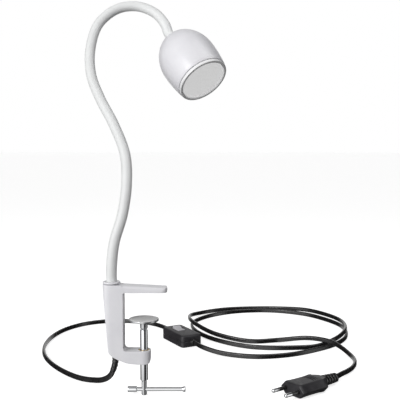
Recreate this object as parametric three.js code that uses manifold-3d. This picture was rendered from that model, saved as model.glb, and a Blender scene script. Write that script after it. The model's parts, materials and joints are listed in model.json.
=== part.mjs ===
// Clamp-on reading lamp with a gooseneck, a lamp in an egg-shaped shade, and a mains lead.
// Millimetres. The origin is on the flat underside of the clamp's upper arm, on the clamp screw's axis.
// +X runs along the arm towards its tip, +Y to the lamp's back, +Z up.
import * as THREE from "three";
import { mergeVertices } from "three/addons/utils/BufferGeometryUtils.js";
import Module from "manifold-3d";

const wasm = await Module();
wasm.setup();

const GAP = 0.3; // left between pieces that touch
const ROUND = 28; // sides of a turned piece

// Surface that the lead and its fittings lie on
const FLOOR_Z = -107;

// Clamp frame
const ARM_DEPTH = 18;
const ARM_TIP_X = 24;
const ARM_ROOT_TOP_Z = 8.4;
const ARM_TIP_TOP_Z = 5;
const POST_INNER_X = -20;
const POST_TOP_LEFT_X = -41.4;
const POST_FOOT_LEFT_X = -35.6;
const POST_FOOT_Z = -62;
const LOWER_ARM_TOP_Z = -59.5;
const LOWER_ARM_LOW_Z = -73;
const BOSS_R = 7.2;
const TIP_CORNER_R = 6;
const EDGE_R = 1.2;

// Neck
const NECK_X = -32.4; // the neck's axis where it stands in the post
const NECK_R = 5.5;
const NECK_FOOT_Z = 8.8;
const COLLAR_R = 9;
const COLLAR_H = 1.9;
const FERRULE_R = 4.9;
const FERRULE_WALL = 1.9;
const FERRULE_LOW_Z = -15;
const LINKS = 10;
const LINK_SIDES = 14;
const LINK_STEPS = 5;
const LINK_END_SLOPE = THREE.MathUtils.degToRad(16); // of the cone on each link's end
const LEAD_BORE_R = 3.9;
const LEAD_EXIT_X = -29;
const GRUB_Z = -6;
const GRUB_R = 1.8;

// Clamp screw and pad
const SCREW_R = 3.9;
const SCREW_TOP_Z = -38.8;
const SCREW_STEP_Z = -91.8;
const SCREW_END_Z = -106.7;
const SCREW_END_R = 2.7;
const INSERT_R = 5.6;
const BAR_Z = -100.8;
const BAR_R = 2.1;
const BAR_LEFT_X = -16.8;
const BAR_RIGHT_X = 42.2;
const BAR_HOLE_R = 2.4;
const BALL_Z = -34.6;
const BALL_R = 3;
const STEM_R = 1.6;
const PAD_R = 15.4;
const PAD_TOP_Z = -27.5;

// Head: s runs along the shade's axis from its rear pole to the light
const HEAD_POLE = new THREE.Vector3(26.4, 84, 265.9);
const HEAD_AXIS = new THREE.Vector3(0.5, -0.485, -0.72).normalize();
const SHADE_R = 31.2;
const SHADE_WIDEST_S = 38;
const SHADE_RIM_S = 66;
const SHADE_RIM_R = 28.7;
const SHADE_WALL = 1.2;
const RING_R = 28;
const RING_FRONT_S = 69.6;
const RING_INNER_R = 25.1;
const LAMP_R = 24.7;
const HOLDER_FRONT_S = 21.7;
const LAMP_PIN_OFFSET = 5;

// Mains lead: a flat two-core cable, which stands on its edge as it curves
const LEAD_WIDTH = 6;
const LEAD_THICKNESS = 3.8;
const LEAD_LIE_Z = FLOOR_Z + LEAD_WIDTH / 2;
const RELIEF_R = 3.6;
const RELIEF_TAPER = 0.14; // share of its radius that the strain relief loses along its length

// Inline switch
const SWITCH_CENTRE = new THREE.Vector3(33, 200, FLOOR_Z);
const SWITCH_TURN = Math.atan2(-0.873, 0.488);
const SWITCH_LENGTH = 58;
const SWITCH_WIDTH = 29;
const SWITCH_HEIGHT = 15.4;
const SWITCH_SPLIT = 7;
const SWITCH_WALL = 2;
const SWITCH_CORNER_R = 4;
const SWITCH_LEAD_Z = 6.9; // of the lead's centre above the surface, at the switch
const ROCKER_X = -8;
const ROCKER_Z = 12;
const ROCKER_TIP = THREE.MathUtils.degToRad(7); // the rocker rests with its lead-in end up
const WINDOW_LENGTH = 18.4;
const WINDOW_WIDTH = 11.6;

// Plug: local +X runs from the pins' face back to the lead
const PLUG_FACE = new THREE.Vector3(150.5, -4.2, FLOOR_Z);
const PLUG_TURN = Math.atan2(0.603, 0.798);
const PLUG_HEIGHT = 13.7;
const PLUG_WIDTH = 34;
const PLUG_TOP_WIDTH = 21;
const PLUG_BODY_LENGTH = 36;
const PLUG_SHOULDER_LENGTH = 45;
const PLUG_RELIEF_LENGTH = 21;
const PIN_LENGTH = 19;
const PIN_SPACING = 18.2;
const PIN_R = 2;
const PIN_SLEEVE_LENGTH = 10;
const PIN_HOLE_DEPTH = 8;

const NECK_POINTS = [
  [NECK_X, 0, NECK_FOOT_Z],
  [-32.3, 0, 25],
  [-29.5, 1.5, 50],
  [-21.5, 6, 78],
  [-18, 14, 108],
  [-20.5, 26, 138],
  [-34, 41, 170],
  [-50, 56, 198],
  [-61.5, 70, 225],
  [-64, 83, 254],
  [-56, 95, 284],
  [-36, 102.5, 301.5],
  [-14, 103.5, 304.5],
  [6, 99, 296.5],
  [18, 91.8, 282.6],
];

const RELIEF_POINTS = [
  [LEAD_EXIT_X, 0, -62],
  [LEAD_EXIT_X, 0, -67],
  [-29.3, 0.3, -72],
  [-30.3, 1.2, -77],
  [-31.9, 2.6, -81.8],
];

// The lead from the strain relief under the post, by the left of the clamp and behind it, to the switch
const LAMP_LEAD_POINTS = [
  [-32.1, 2.8, -82.3],
  [-34.3, 4.8, -87],
  [-38.6, 8.9, -91.9],
  [-46, 16, -96.6],
  [-56, 26.5, -100.2],
  [-68, 38, -102.8],
  [-82, 52, LEAD_LIE_Z],
  [-103, 77, LEAD_LIE_Z],
  [-123, 111, LEAD_LIE_Z],
  [-135, 145, LEAD_LIE_Z],
  [-140, 180, LEAD_LIE_Z],
  [-138, 218, LEAD_LIE_Z],
  [-127, 254, LEAD_LIE_Z],
  [-106, 282, LEAD_LIE_Z],
  [-80, 296, LEAD_LIE_Z],
  [-51, 298, LEAD_LIE_Z],
  [-26, 292, LEAD_LIE_Z],
  [-10, 282, LEAD_LIE_Z],
  [0.5, 270, -103.6],
  [8, 256, -102.4],
  [12.2, 243, -100.9],
  [15.2, 232.2, -100.1],
];

// The lead from the switch to the plug: two loops on the floor, the second laid over the first
const PLUG_LEAD_POINTS = [
  [50.7, 168.3, -100.1],
  [61, 152.5, -101.1],
  [83.9, 135.5, -103.4],
  [121.7, 123.3, LEAD_LIE_Z],
  [163.5, 130.3, LEAD_LIE_Z],
  [202.4, 153.2, LEAD_LIE_Z],
  [231, 179, LEAD_LIE_Z],
  [248.5, 208, LEAD_LIE_Z],
  [256.5, 243, LEAD_LIE_Z],
  [254.5, 275, LEAD_LIE_Z],
  [240, 308, LEAD_LIE_Z],
  [214.3, 341, LEAD_LIE_Z],
  [167.5, 363, LEAD_LIE_Z],
  [111.8, 357.3, LEAD_LIE_Z],
  [69, 327.4, LEAD_LIE_Z],
  [46.5, 286, LEAD_LIE_Z],
  [51, 244, LEAD_LIE_Z],
  [76.9, 199, LEAD_LIE_Z],
  [121.7, 165.1, LEAD_LIE_Z],
  [175.5, 161.2, LEAD_LIE_Z],
  [206, 169, -104],
  [231, 186, -99.6],
  [246, 209, -97.6],
  [256, 243, -97.5],
  [255.5, 276, -97.5],
  [243, 309, -97.6],
  [218.5, 345, -98.6],
  [190, 368, -101.6],
  [146.6, 381, LEAD_LIE_Z],
  [96.8, 373, LEAD_LIE_Z],
  [58, 345, -103],
  [41.5, 302, -98.2],
  [52, 254, -97.6],
  [80, 212, -100.8],
  [122, 191, LEAD_LIE_Z],
  [160, 193.5, -103],
  [192, 186, -98.4],
  [210, 176, -97.4],
  [223, 163, -97.8],
  [231.5, 148, -100.2],
  [237, 132, -102.8],
  [239.5, 116, LEAD_LIE_Z],
  [237.5, 99, LEAD_LIE_Z],
  [230.5, 80.5, -103.7],
  [221, 63.5, -102.5],
  [211, 47.6, -100.7],
  [202.3, 35, -100.15],
];

const material = (color, roughness, metalness = 0) =>
  new THREE.MeshStandardMaterial({ color, roughness, metalness });

const WHITE_PAINT = material(0xe6e5ea, 0.4);
const WHITE_SLEEVE = material(0xebecec, 0.45);
const WHITE_PLASTIC = material(0xf4f4f6, 0.35);
const FROSTED = material(0xdcdcdc, 0.6);
const CERAMIC = material(0xf0ece2, 0.5);
const ALUMINIUM = material(0xc8cacc, 0.4, 0.8);
const CHROME = material(0xdadcde, 0.1, 1);
const STEEL = material(0xa8aaad, 0.35, 1);
const BRASS = material(0xc9a558, 0.3, 1);
const GREY_FELT = material(0xb4b4b4, 0.9);
const BLACK_PVC = material(0x1e1c1e, 0.35);
const DARK_PLASTIC = material(0x403f44, 0.5);
const GREY_ROCKER = material(0xc6c5ca, 0.45);

const model = new THREE.Group();

// ---- helpers

function add(parent, name, geometry, finish) {
  const mesh = new THREE.Mesh(geometry, finish);
  mesh.name = name;
  parent.add(mesh);
  return mesh;
}

function solid(geometry) {
  const bare = geometry.clone();
  for (const name of ["normal", "uv"]) bare.deleteAttribute(name);
  const merged = mergeVertices(bare, 1e-4);
  return new wasm.Manifold(
    new wasm.Mesh({
      numProp: 3,
      vertProperties: new Float32Array(merged.attributes.position.array),
      triVerts: new Uint32Array(merged.index.array),
    }),
  );
}

function geometryOf(body) {
  const mesh = body.getMesh();
  const geometry = new THREE.BufferGeometry();
  geometry.setAttribute("position", new THREE.BufferAttribute(mesh.vertProperties, 3));
  geometry.setIndex(new THREE.BufferAttribute(mesh.triVerts, 1));
  geometry.computeVertexNormals();
  return geometry;
}

const cut = (body, ...tools) =>
  geometryOf(tools.reduce((left, tool) => left.subtract(solid(tool)), solid(body)));

// A turned piece about Z from a profile of [radius, height] that runs up its outside.
function turned(profile, sides = ROUND) {
  const points = profile.map(([r, z]) => new THREE.Vector2(r, z));
  return new THREE.LatheGeometry(points, sides).rotateX(Math.PI / 2);
}

function cylinder(radius, low, high, sides = ROUND) {
  return turned([[0, low], [radius, low], [radius, high], [0, high]], sides);
}

function ring(inner, outer, low, high, sides = ROUND) {
  return turned([[inner, low], [outer, low], [outer, high], [inner, high], [inner, low]], sides);
}

// A cylinder along X.
const crossRod = (radius, from, to, sides = ROUND) => cylinder(radius, from, to, sides).rotateY(Math.PI / 2);

function box(length, width, height, centre) {
  return new THREE.BoxGeometry(length, width, height).translate(...centre);
}

function roundedRectangle(length, width, radius) {
  const [x, y] = [length / 2, width / 2];
  const shape = new THREE.Shape();
  shape.moveTo(-x + radius, -y);
  shape.lineTo(x - radius, -y);
  shape.absarc(x - radius, -y + radius, radius, -Math.PI / 2, 0);
  shape.lineTo(x, y - radius);
  shape.absarc(x - radius, y - radius, radius, 0, Math.PI / 2);
  shape.lineTo(-x + radius, y);
  shape.absarc(-x + radius, y - radius, radius, Math.PI / 2, Math.PI);
  shape.lineTo(-x, -y + radius);
  shape.absarc(-x + radius, -y + radius, radius, Math.PI, 1.5 * Math.PI);
  return shape;
}

function slab(shape, low, high, curveSegments = 6) {
  const depth = high - low;
  const geometry = new THREE.ExtrudeGeometry(shape, { depth, bevelEnabled: false, curveSegments });
  return geometry.translate(0, 0, low);
}

const roundedSlab = (length, width, radius, low, high) =>
  slab(roundedRectangle(length, width, radius), low, high);

function ovalShape(width, height, sides) {
  const points = Array.from({ length: sides }, (_, i) => {
    const angle = (2 * Math.PI * i) / sides;
    return new THREE.Vector2((width / 2) * Math.cos(angle), (height / 2) * Math.sin(angle));
  });
  return new THREE.Shape(points);
}

// A route whose cross-section never rolls, so that a flat cable stays on its edge all along it.
class LevelRoute extends THREE.CatmullRomCurve3 {
  computeFrenetFrames(segments) {
    const frames = { tangents: [], normals: [], binormals: [] };
    for (let i = 0; i <= segments; i++) {
      const tangent = this.getTangentAt(i / segments);
      const across = new THREE.Vector3(-tangent.y, tangent.x, 0).normalize();
      frames.tangents.push(tangent);
      frames.normals.push(across);
      frames.binormals.push(new THREE.Vector3().crossVectors(tangent, across));
    }
    return frames;
  }
}

const routeThrough = (points) =>
  new LevelRoute(points.map((p) => new THREE.Vector3(...p)), false, "centripetal");

function tube(route, steps, shape) {
  return new THREE.ExtrudeGeometry(shape, { steps, extrudePath: route, bevelEnabled: false });
}

// ---- clamp

// The C-shaped side view of the frame, in X and Z.
function clampProfile() {
  const shape = new THREE.Shape();
  shape.moveTo(POST_TOP_LEFT_X, ARM_ROOT_TOP_Z);
  shape.lineTo(POST_FOOT_LEFT_X, POST_FOOT_Z);
  shape.quadraticCurveTo(-35, -65, -28, -67);
  shape.quadraticCurveTo(-17, LOWER_ARM_LOW_Z + 1, -6, LOWER_ARM_LOW_Z);
  shape.quadraticCurveTo(BOSS_R, LOWER_ARM_LOW_Z, BOSS_R, -67);
  shape.lineTo(BOSS_R, LOWER_ARM_TOP_Z);
  shape.lineTo(POST_INNER_X + 4, LOWER_ARM_TOP_Z);
  shape.quadraticCurveTo(POST_INNER_X, LOWER_ARM_TOP_Z, POST_INNER_X, LOWER_ARM_TOP_Z + 4);
  shape.lineTo(POST_INNER_X, -2);
  shape.quadraticCurveTo(POST_INNER_X, 0, POST_INNER_X + 2, 0);
  shape.lineTo(ARM_TIP_X, 0);
  shape.lineTo(ARM_TIP_X, ARM_TIP_TOP_Z);
  shape.closePath();
  return shape;
}

// The frame's outline from above: round round the neck, and round about the tip's corners.
function clampPlan() {
  const half = ARM_DEPTH / 2;
  const shape = new THREE.Shape();
  shape.absarc(NECK_X, 0, half, Math.PI / 2, 1.5 * Math.PI);
  shape.lineTo(ARM_TIP_X - TIP_CORNER_R, -half);
  shape.absarc(ARM_TIP_X - TIP_CORNER_R, -half + TIP_CORNER_R, TIP_CORNER_R, -Math.PI / 2, 0);
  shape.lineTo(ARM_TIP_X, half - TIP_CORNER_R);
  shape.absarc(ARM_TIP_X - TIP_CORNER_R, half - TIP_CORNER_R, TIP_CORNER_R, 0, Math.PI / 2);
  return shape;
}

function clampBody() {
  const side = new THREE.ExtrudeGeometry(clampProfile(), {
    depth: ARM_DEPTH - 2 * EDGE_R,
    bevelThickness: EDGE_R,
    bevelSize: EDGE_R,
    bevelOffset: -EDGE_R,
    bevelSegments: 2,
    curveSegments: 5,
  });
  side.rotateX(Math.PI / 2).translate(0, ARM_DEPTH / 2 - EDGE_R, 0);
  const plan = slab(clampPlan(), LOWER_ARM_LOW_Z - 5, ARM_ROOT_TOP_Z + 5, 8);
  const bossEnd = slab(bossPlan(), LOWER_ARM_LOW_Z - 5, LOWER_ARM_TOP_Z + 5, 8);
  const frame = solid(side).intersect(solid(plan)).subtract(solid(bossEnd));
  const ferruleBore = cylinder(FERRULE_R + GAP, FERRULE_LOW_Z - GAP, 20);
  const leadBore = cylinder(LEAD_BORE_R, -90, FERRULE_LOW_Z);
  const screwBore = cylinder(INSERT_R + GAP, -90, LOWER_ARM_TOP_Z + 5);
  const grubBore = cylinder(GRUB_R + GAP, 0, 20, 12).rotateX(-Math.PI / 2);
  const bores = [
    ferruleBore.translate(NECK_X, 0, 0),
    leadBore.translate(LEAD_EXIT_X, 0, 0),
    screwBore,
    grubBore.translate(NECK_X, 0, GRUB_Z),
  ];
  return geometryOf(bores.reduce((left, bore) => left.subtract(solid(bore)), frame));
}

// What is cut from the lower arm's end to round it about the screw.
function bossPlan() {
  const half = ARM_DEPTH / 2;
  const shape = new THREE.Shape();
  shape.moveTo(-6, half + 1);
  shape.lineTo(-6, half);
  shape.quadraticCurveTo(BOSS_R, half, BOSS_R, 0);
  shape.quadraticCurveTo(BOSS_R, -half, -6, -half);
  shape.lineTo(-6, -half - 1);
  shape.lineTo(BOSS_R + 5, -half - 1);
  shape.lineTo(BOSS_R + 5, half + 1);
  return shape;
}

function buildClamp(parent) {
  add(parent, "clamp_body", clampBody(), WHITE_PAINT);
  const collarLow = ARM_ROOT_TOP_Z + GAP;
  const collar = ring(NECK_R + 2 * GAP, COLLAR_R, collarLow, collarLow + COLLAR_H);
  add(parent, "neck_collar", collar, WHITE_PAINT).position.x = NECK_X;
  const ferrule = ring(FERRULE_R - FERRULE_WALL, FERRULE_R, FERRULE_LOW_Z, NECK_FOOT_Z - GAP);
  add(parent, "neck_lower_ferrule", ferrule, STEEL).position.x = NECK_X;
  const grub = cylinder(GRUB_R, 0, 3.2, 12);
  const socket = cylinder(0.9, 1.6, 4, 6);
  const grubMesh = add(parent, "neck_grub_screw", cut(grub, socket), STEEL);
  grubMesh.position.set(NECK_X, FERRULE_R + GAP, GRUB_Z);
  grubMesh.rotation.x = -Math.PI / 2;
  const insert = ring(SCREW_R + GAP, INSERT_R, LOWER_ARM_LOW_Z + 1, LOWER_ARM_TOP_Z - GAP);
  add(parent, "thread_insert", insert, BRASS);
}

// ---- clamp screw and pad

function buildScrew(parent) {
  const shank = turned([
    [0, SCREW_END_Z],
    [SCREW_END_R - 0.7, SCREW_END_Z],
    [SCREW_END_R, SCREW_END_Z + 0.7],
    [SCREW_END_R, SCREW_STEP_Z],
    [SCREW_R, SCREW_STEP_Z + 1.2],
    [SCREW_R, SCREW_TOP_Z - 0.8],
    [SCREW_R - 0.8, SCREW_TOP_Z],
    [STEM_R + GAP, SCREW_TOP_Z],
    [STEM_R + GAP, SCREW_TOP_Z - 7],
    [0, SCREW_TOP_Z - 7],
  ]);
  const barHole = crossRod(BAR_HOLE_R, -10, 10, 20).translate(0, 0, BAR_Z);
  add(parent, "clamp_screw", cut(shank, barHole), CHROME);
  const bar = turned([
    [0, BAR_LEFT_X + 1],
    [1.5, BAR_LEFT_X + 1],
    [1.5, BAR_LEFT_X + 9.6],
    [BAR_R, BAR_LEFT_X + 9.6],
    [BAR_R, BAR_RIGHT_X - 3.4],
    [3, BAR_RIGHT_X - 0.6],
    [2.6, BAR_RIGHT_X],
    [0, BAR_RIGHT_X],
  ], 20);
  add(parent, "tommy_bar", bar.rotateY(Math.PI / 2).translate(0, 0, BAR_Z), CHROME);
  const cap = turned([
    [0, BAR_LEFT_X],
    [2.7, BAR_LEFT_X],
    [3.1, BAR_LEFT_X + 0.4],
    [3.1, BAR_LEFT_X + 9.3],
    [1.8, BAR_LEFT_X + 9.3],
    [1.8, BAR_LEFT_X + 0.7],
    [0, BAR_LEFT_X + 0.7],
  ], 20);
  add(parent, "tommy_bar_cap", cap.rotateY(Math.PI / 2).translate(0, 0, BAR_Z), CHROME);
}

function ballStud() {
  const profile = [[0, SCREW_TOP_Z - 6.6], [STEM_R, SCREW_TOP_Z - 6.6]];
  const stemAngle = Math.asin(STEM_R / BALL_R);
  const arcs = 8;
  for (let i = 0; i < arcs; i++) {
    const angle = stemAngle + ((Math.PI - stemAngle) * i) / arcs;
    profile.push([BALL_R * Math.sin(angle), BALL_Z - BALL_R * Math.cos(angle)]);
  }
  profile.push([0, BALL_Z + BALL_R]);
  return turned(profile, 20);
}

// A pressed disc with a rim round its facing and a cup below that closes round the ball.
function padDisc() {
  const cup = BALL_R + 0.35;
  const profile = [
    [2.5, BALL_Z - 3.6],
    [3.1, BALL_Z - 3.6],
    [SCREW_R, BALL_Z - 2.8],
    [SCREW_R, PAD_TOP_Z - 3.4],
    [PAD_R, PAD_TOP_Z - 3.4],
    [PAD_R, PAD_TOP_Z - 0.9],
    [PAD_R - 0.7, PAD_TOP_Z - 0.9],
    [PAD_R - 0.7, PAD_TOP_Z - 2.2],
    [0, PAD_TOP_Z - 2.2],
    [0, BALL_Z + cup],
  ];
  const arcs = 6;
  const mouth = Math.asin(2.5 / cup);
  for (let i = arcs - 1; i > 0; i--) {
    const angle = mouth + ((Math.PI - mouth) * i) / arcs;
    profile.push([cup * Math.sin(angle), BALL_Z - cup * Math.cos(angle)]);
  }
  profile.push([2.5, BALL_Z - 2.2], [2.5, BALL_Z - 3.6]);
  return turned(profile);
}

function buildPad(parent) {
  add(parent, "swivel_ball_stud", ballStud(), STEEL);
  add(parent, "pad_disc", padDisc(), STEEL);
  const facing = cylinder(PAD_R - 0.7 - GAP, PAD_TOP_Z - 2.2 + GAP, PAD_TOP_Z);
  add(parent, "pad_facing", facing, GREY_FELT);
}

// ---- gooseneck

function neckRoute() {
  const points = NECK_POINTS.map((p) => new THREE.Vector3(...p));
  points.push(HEAD_POLE.clone().addScaledVector(HEAD_AXIS, -9));
  points.push(HEAD_POLE.clone().addScaledVector(HEAD_AXIS, -GAP));
  return new THREE.CatmullRomCurve3(points, false, "centripetal");
}

// The stretch of a route between two shares of its length.
class Stretch extends THREE.Curve {
  constructor(route, from, to) {
    super();
    this.point = (t) => route.getPointAt(THREE.MathUtils.lerp(from, to, t));
  }
  getPoint(t, target = new THREE.Vector3()) {
    return target.copy(this.point(t));
  }
}

// Everything between two cones whose tips nearly meet on the hinge.
function hingeCutter(route, share) {
  const reach = NECK_R + 2;
  const slope = Math.tan(LINK_END_SLOPE) * reach;
  const tip = GAP / 2 + 0.05;
  const wedge = turned([[0, -tip], [reach, -tip - slope], [reach, tip + slope], [0, tip]], LINK_SIDES);
  const turn = new THREE.Quaternion().setFromUnitVectors(
    new THREE.Vector3(0, 0, 1),
    route.getTangentAt(share),
  );
  return wedge.applyQuaternion(turn).translate(...route.getPointAt(share).toArray());
}

function buildNeck(parent) {
  const route = neckRoute();
  const section = ovalShape(2 * NECK_R, 2 * NECK_R, LINK_SIDES);
  const inner = Array.from({ length: LINKS - 1 }, (_, i) => (i + 1) / LINKS);
  const cutters = inner.map((share) => hingeCutter(route, share));
  for (let i = 0; i < LINKS; i++) {
    const stretch = new Stretch(route, i / LINKS, (i + 1) / LINKS);
    const neighbours = cutters.slice(Math.max(0, i - 1), i + 1);
    const link = cut(tube(stretch, LINK_STEPS, section), ...neighbours);
    add(parent, `neck_link_${i}`, link, WHITE_SLEEVE);
  }
}

// ---- head

// The shade's radius at s: half an ellipsoid behind its widest place, and a slow taper before it.
function shadeRadius(s, wall = 0) {
  if (s > SHADE_WIDEST_S) {
    const share = (s - SHADE_WIDEST_S) / (SHADE_RIM_S - SHADE_WIDEST_S);
    return SHADE_R - wall - (SHADE_R - SHADE_RIM_R) * share ** 2;
  }
  const share = (SHADE_WIDEST_S - s) / (SHADE_WIDEST_S - wall);
  return (SHADE_R - wall) * Math.sqrt(Math.max(0, 1 - share ** 2));
}

function shade() {
  const holeR = FERRULE_R + GAP;
  const outer = [0.6, 1.5, 3, 5.5, 9, 14, 20, 28, 38, 48, 57, SHADE_RIM_S];
  const inner = [SHADE_RIM_S, 57, 48, 38, 28, 20, 14, 9, 5.5, 3.4, 2.2];
  const profile = [[holeR, SHADE_WALL + 0.6], [holeR, 0.2]];
  outer.forEach((s) => profile.push([Math.max(holeR + 0.3, shadeRadius(s)), s]));
  inner.forEach((s) => profile.push([shadeRadius(s, SHADE_WALL), s]));
  profile.push([holeR, SHADE_WALL + 0.6]);
  return turned(profile, 36);
}

function frontRing() {
  const low = SHADE_RIM_S + GAP;
  const sleeveR = SHADE_RIM_R - SHADE_WALL - GAP;
  return turned([
    [sleeveR - 1, low - 5],
    [sleeveR, low - 5],
    [sleeveR, low],
    [RING_R, low],
    [RING_R, RING_FRONT_S - 1],
    [RING_R - 0.9, RING_FRONT_S],
    [RING_INNER_R + 0.6, RING_FRONT_S],
    [RING_INNER_R, RING_FRONT_S - 0.8],
    [RING_INNER_R, low + 0.3],
    [sleeveR - 1, low],
    [sleeveR - 1, low - 5],
  ], 36);
}

function lampHolder() {
  const body = turned([
    [0, 8],
    [9.4, 8],
    [10.2, 9.2],
    [10.2, HOLDER_FRONT_S],
    [0, HOLDER_FRONT_S],
  ]);
  const pinHoles = [-1, 1].map((side) =>
    cylinder(2.6, 13.5, 30, 14).translate(side * LAMP_PIN_OFFSET, 0, 0),
  );
  return cut(body, ...pinHoles);
}

function lampPin(side) {
  const low = HOLDER_FRONT_S - 6.4;
  const pin = turned([
    [0, low],
    [2.2, low],
    [2.2, low + 2.6],
    [1.4, low + 3.2],
    [1.4, HOLDER_FRONT_S],
    [0, HOLDER_FRONT_S],
  ], 14);
  return pin.translate(side * LAMP_PIN_OFFSET, 0, 0);
}

function shadeNut() {
  const outside = cylinder(6.9, 4, 6.4, 6);
  return cut(outside, cylinder(FERRULE_R + GAP, 0, 10));
}

function buildHead(parent) {
  const head = new THREE.Group();
  head.position.copy(HEAD_POLE);
  head.quaternion.setFromUnitVectors(new THREE.Vector3(0, 0, 1), HEAD_AXIS);
  parent.add(head);
  add(head, "shade", shade(), WHITE_PAINT);
  add(head, "front_ring", frontRing(), WHITE_PLASTIC);
  add(head, "neck_upper_ferrule", ring(FERRULE_R - FERRULE_WALL, FERRULE_R, 0, 7), STEEL);
  add(head, "shade_nut", shadeNut(), STEEL);
  const cup = turned([
    [FERRULE_R + GAP, 2.7],
    [7.2, 2.7],
    [11.4, 7.4],
    [11.4, 12],
    [10.6, 12],
    [10.6, 7.8],
    [7, 3.6],
    [FERRULE_R + GAP, 3.6],
    [FERRULE_R + GAP, 2.7],
  ]);
  add(head, "holder_cup", cup, STEEL);
  add(head, "lampholder", lampHolder(), CERAMIC);
  const baseLow = HOLDER_FRONT_S + GAP;
  const base = turned([[0, baseLow], [9, baseLow], [9.6, 26], [13, 37], [0, 37]]);
  add(head, "lamp_base", base, WHITE_PLASTIC);
  const housing = turned([
    [0, 37 + GAP],
    [13.4, 37 + GAP],
    [21, 54],
    [LAMP_R - 0.6, 62],
    [LAMP_R - 0.6, SHADE_RIM_S],
    [0, SHADE_RIM_S],
  ]);
  add(head, "lamp_housing", housing, ALUMINIUM);
  const lens = turned([
    [0, SHADE_RIM_S + GAP],
    [LAMP_R, SHADE_RIM_S + GAP],
    [LAMP_R, SHADE_RIM_S + 1.8],
    [LAMP_R - 0.6, SHADE_RIM_S + 2.3],
    [0, SHADE_RIM_S + 2.3],
  ], 36);
  add(head, "lamp_lens", lens, FROSTED);
  add(head, "lamp_pin_left", lampPin(-1), BRASS);
  add(head, "lamp_pin_right", lampPin(1), BRASS);
}

// ---- mains lead

const leadSection = () => ovalShape(LEAD_THICKNESS, LEAD_WIDTH, 10);

// The tapered sleeve that the lead leaves the post through. It bends with the lead.
function strainRelief() {
  const points = RELIEF_POINTS.map((p) => new THREE.Vector3(...p));
  const route = new THREE.CatmullRomCurve3(points, false, "centripetal");
  const steps = 8;
  const sleeve = tube(route, steps, ovalShape(2 * RELIEF_R, 2 * RELIEF_R, 12));
  const centres = route.getSpacedPoints(steps);
  const at = sleeve.attributes.position;
  for (let i = 0; i < at.count; i++) {
    const point = new THREE.Vector3().fromBufferAttribute(at, i);
    const nearest = centres.reduce((a, b) => (b.distanceTo(point) < a.distanceTo(point) ? b : a));
    const share = centres.indexOf(nearest) / steps;
    point.lerp(nearest, RELIEF_TAPER * share);
    at.setXYZ(i, point.x, point.y, point.z);
  }
  return sleeve;
}

function buildLead(parent) {
  add(parent, "cord_strain_relief", strainRelief(), BLACK_PVC);
  const lampLead = tube(routeThrough(LAMP_LEAD_POINTS), 32, leadSection());
  add(parent, "cord_lamp_side", lampLead, BLACK_PVC);
  const plugLead = tube(routeThrough(PLUG_LEAD_POINTS), 88, leadSection());
  add(parent, "cord_plug_side", plugLead, BLACK_PVC);
}

// ---- inline switch

function switchShell(low, high, floorLow, floorHigh) {
  const outside = roundedSlab(SWITCH_LENGTH, SWITCH_WIDTH, SWITCH_CORNER_R, low, high);
  const [length, width] = [SWITCH_LENGTH - 2 * SWITCH_WALL, SWITCH_WIDTH - 2 * SWITCH_WALL];
  const inside = roundedSlab(length, width, SWITCH_CORNER_R - SWITCH_WALL, floorLow, floorHigh);
  const leadWay = crossRod(4, -40, 40, 16).translate(0, 0, SWITCH_LEAD_Z);
  return [outside, inside, leadWay];
}

function switchScrew(x) {
  const screw = turned([[0, 0.6], [2.4, 0.6], [2.4, 1.8], [1.2, 2.4], [1.2, 9], [0, 9]], 14);
  return screw.translate(x, 0, 0);
}

function rocker() {
  const shape = new THREE.Shape();
  const half = WINDOW_LENGTH / 2 - 0.9;
  shape.moveTo(-half, 1.8);
  shape.lineTo(-half + 0.8, -1.6);
  shape.lineTo(half - 0.8, -1.6);
  shape.lineTo(half, 1.8);
  shape.quadraticCurveTo(half, 3.6, half - 1.4, 4);
  shape.quadraticCurveTo(0, 2.2, -half + 1.4, 4);
  shape.quadraticCurveTo(-half, 3.6, -half, 1.8);
  const width = WINDOW_WIDTH - 1.2;
  const block = slab(shape, -width / 2, width / 2).rotateX(Math.PI / 2);
  const pivotHole = cylinder(1.3, -10, 10, 14).rotateX(Math.PI / 2);
  return cut(block, pivotHole);
}

function leadSleeve(side) {
  const start = SWITCH_LENGTH / 2 - 3;
  const sleeve = turned([
    [2.8, start],
    [3.7, start],
    [3.7, start + 5],
    [3.3, start + 10],
    [2.8, start + 10],
    [2.8, start],
  ], 16);
  return sleeve.rotateY((side * Math.PI) / 2).translate(0, 0, SWITCH_LEAD_Z);
}

function contact(side) {
  const blade = box(10, 5, 0.8, [ROCKER_X + side * 10, 0, SWITCH_WALL + GAP + 0.4]);
  const tip = cylinder(1.4, SWITCH_WALL + GAP + 0.5, 4.2, 12).translate(ROCKER_X + side * 6, 0, 0);
  return geometryOf(solid(blade).add(solid(tip)));
}

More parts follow.
